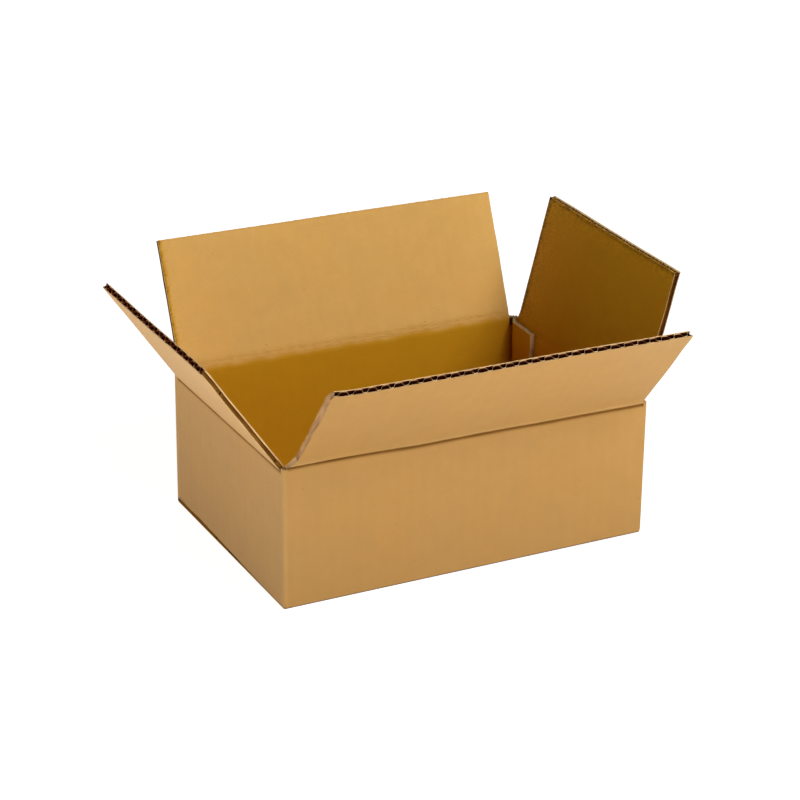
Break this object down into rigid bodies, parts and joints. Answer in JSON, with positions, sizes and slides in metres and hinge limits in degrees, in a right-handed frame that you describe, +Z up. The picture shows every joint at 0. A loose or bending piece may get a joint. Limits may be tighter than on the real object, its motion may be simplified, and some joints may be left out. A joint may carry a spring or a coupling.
{
  "type": "corrugated mailer box",
  "caption": "Small regular slotted carton in brown corrugated board, bottom glued shut, its top flaps standing open on their creases",
  "frame": {"origin": "middle of the underside, on the floor", "axes": "X along the length from the left end wall to the right one, Y from the front wall to the back wall, Z up"},
  "size_m": [0.2308, 0.1872, 0.1235],
  "materials": {
    "kraft_board": "matt"
  },
  "bodies": {
    "box_body": {"box_body": "kraft_board"},
    "front_flap": {"front_flap": "kraft_board"},
    "back_flap": {"back_flap": "kraft_board"},
    "left_flap": {"left_flap": "kraft_board"},
    "right_flap": {"right_flap": "kraft_board"}
  },
  "joints": [
    {"name": "front_crease", "type": "hinge", "parent": "box_body", "child": "front_flap", "pos_m": [0, -0.0609, 0.067], "axis": [1, 0, 0], "range_deg": [-129.5, 84.5]},
    {"name": "back_crease", "type": "hinge", "parent": "box_body", "child": "back_flap", "pos_m": [0, 0.0609, 0.067], "axis": [-1, 0, 0], "range_deg": [-112.5, 101.5]},
    {"name": "left_crease", "type": "hinge", "parent": "box_body", "child": "left_flap", "pos_m": [-0.0893, 0, 0.0645], "axis": [0, -1, 0], "range_deg": [-128, 90]},
    {"name": "right_crease", "type": "hinge", "parent": "box_body", "child": "right_flap", "pos_m": [0.0893, 0, 0.0645], "axis": [0, 1, 0], "range_deg": [-108.5, 109.5]}
  ]
}
